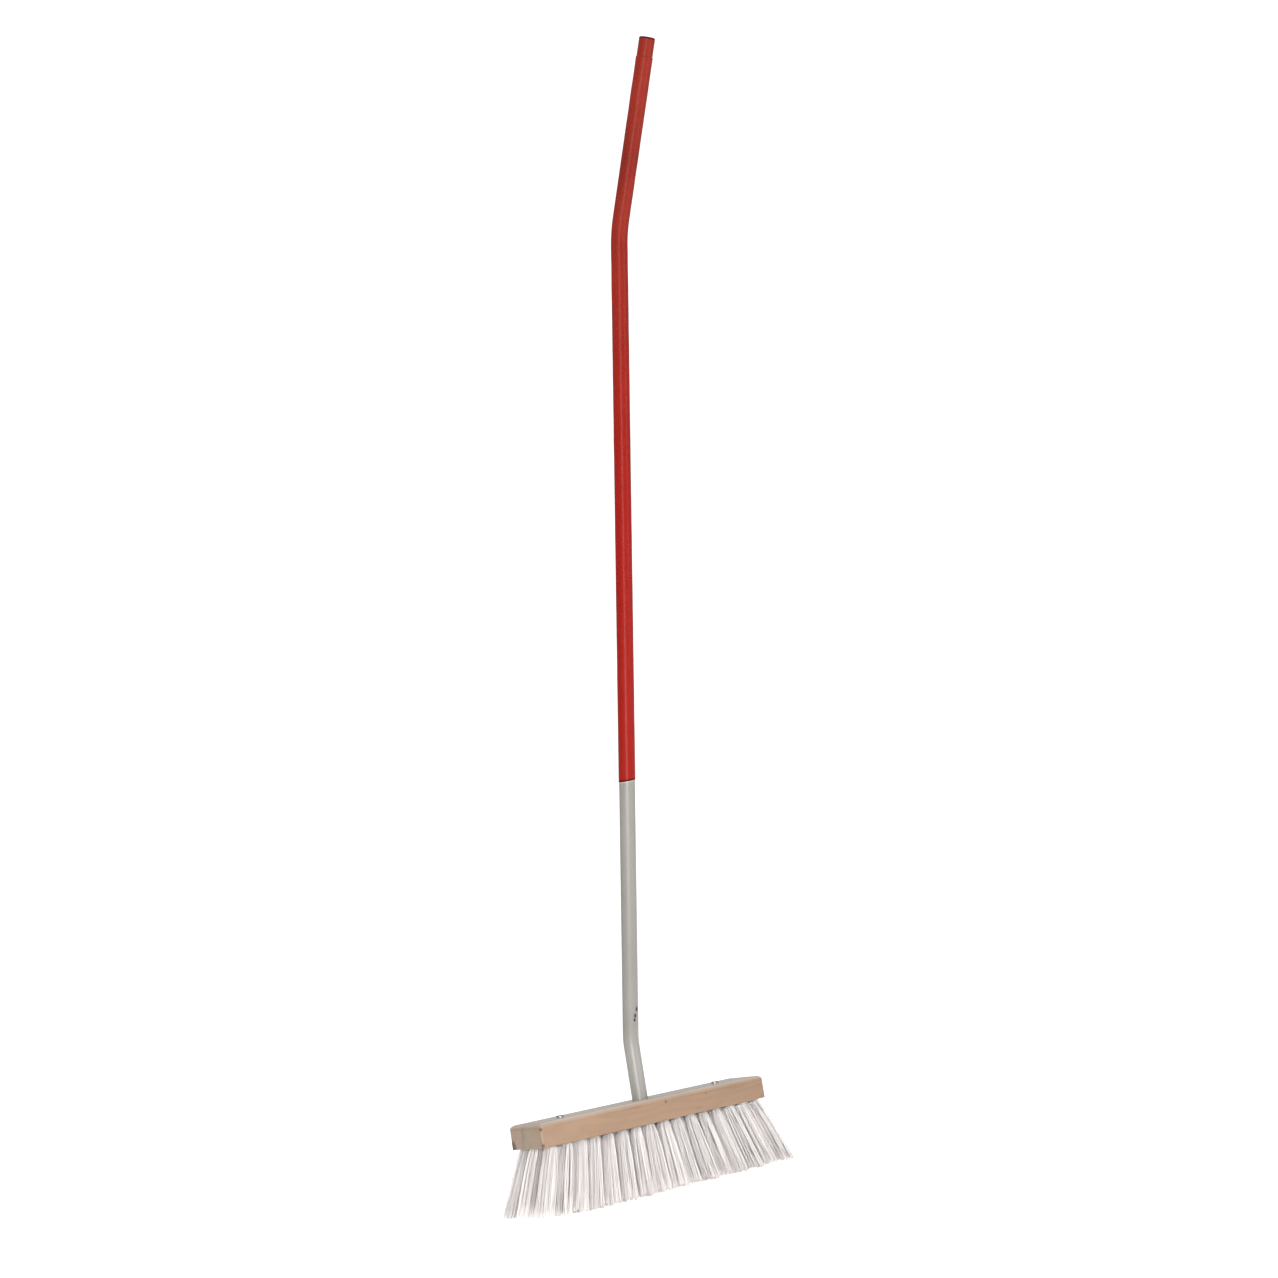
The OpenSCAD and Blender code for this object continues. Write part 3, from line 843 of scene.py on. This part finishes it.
def make_stage():
    """A pale lit table that runs into a plain backdrop, which lights nothing."""
    disc = bmesh.new()
    bmesh.ops.create_circle(disc, cap_ends=True, segments=128, radius=DOME_R + 1)
    add_stage("floor", disc, glow_material("floor_pale", FLOOR_GLOW, 0.9))
    dome = bmesh.new()
    bmesh.ops.create_icosphere(dome, subdivisions=5, radius=DOME_R)
    backdrop = add_stage("backdrop", dome, glow_material("backdrop_pale", BACKDROP_GLOW, 0.0))
    for ray in ("diffuse", "glossy", "transmission", "volume_scatter", "shadow"):
        setattr(backdrop, "visible_" + ray, False)


def add_softbox(name, place, target, width, height, level):
    """An area light; level is what it adds to a white surface that faces it at the target."""
    data = bpy.data.lights.new(name, "AREA")
    data.shape = "RECTANGLE"
    data.size, data.size_y = width, height
    gap = Vector(target) - Vector(place)
    data.energy = level * math.pi ** 2 * gap.length_squared
    light = bpy.data.objects.new(name, data)
    bpy.context.scene.collection.objects.link(light)
    light.location = place
    light.rotation_euler = gap.to_track_quat("-Z", "Y").to_euler()
    light.visible_camera = False


def make_lights():
    world = bpy.data.worlds.new("studio")
    bpy.context.scene.world = world
    world.use_nodes = True
    sky = Nodes(world.node_tree)
    background = sky.nodes["Background"]
    background.inputs["Strength"].default_value = 1.0
    direction = sky.node("ShaderNodeTexCoord").outputs["Generated"]
    # The dim screen stands behind the broom, above the table's edge
    behind = (math.sin(VIEW_AZIMUTH), math.cos(VIEW_AZIMUTH), 0)
    ahead = sky.ramp(sky.vector("DOT_PRODUCT", direction, behind), (0.45, 0.0), (0.78, 1.0))
    height = sky.ramp(sky.split(direction)["Z"], (0.17, 0.0), (0.28, 1.0))
    screen = sky.math("MULTIPLY", ahead, height)
    sky.link(sky.ramp(screen, (0.0, WORLD_LIGHT), (1.0, SCREEN_LIGHT)), background.inputs["Color"])
    for softbox in SOFTBOXES:
        add_softbox(*softbox)
    bpy.context.scene.view_settings.view_transform = "Standard"


# ---------------------------------------------------------------- build

line = Centreline()
make_camera()
make_stage()
make_lights()

_, bend_start, bend_length, _, _, _ = line.pieces[1]
chips = [(line.surface_point(bend_start + bend_length / 2 + up_tube, angle, TUBE_R), size)
         for up_tube, angle, size in CHIPS]

cut_point, cut_lean = line.at(line.sleeve_start)
cut_slope = line.direction(cut_lean) + CUT_TILT / TUBE_R * (
    math.cos(CUT_TURN) * Vector((1, 0, 0)) - math.sin(CUT_TURN) * line.inward(cut_lean))
grip_point, grip_lean = line.at(line.length - GRIP_BACK)
plug_top = grip_point + line.direction(grip_lean) * (
    (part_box("end_plug")[1].z - grip_point.z) / math.cos(grip_lean) - PLUG_R * math.tan(grip_lean))

paint = paint_material(chips, cut_point, cut_slope)
red = sleeve_material("sleeve_plastic", grip_point, [(cut_point, cut_slope, CUT_RIM_SHADE)])
plug_red = sleeve_material("plug_plastic", grip_point, [(plug_top, -line.direction(grip_lean), PLUG_RIM_SHADE)])
wood = wood_material()
white = bristle_material()
zinc = steel_material("screw_steel", (0.42, 0.41, 0.39))
wire = steel_material("anchor_steel", (0.5, 0.49, 0.48))

make_tube(line, paint)
make_sleeve(line, red)
make_bristles(white)

FINISHES = {"head_block": wood, "end_plug": plug_red, "handle_screw": zinc, "top_screws": zinc}
for name, node in frame["nodes"].items():
    if name in FINISHES:
        node.material_slots[0].material = FINISHES[name]
    elif name.startswith("anchors_row_"):
        node.material_slots[0].material = wire
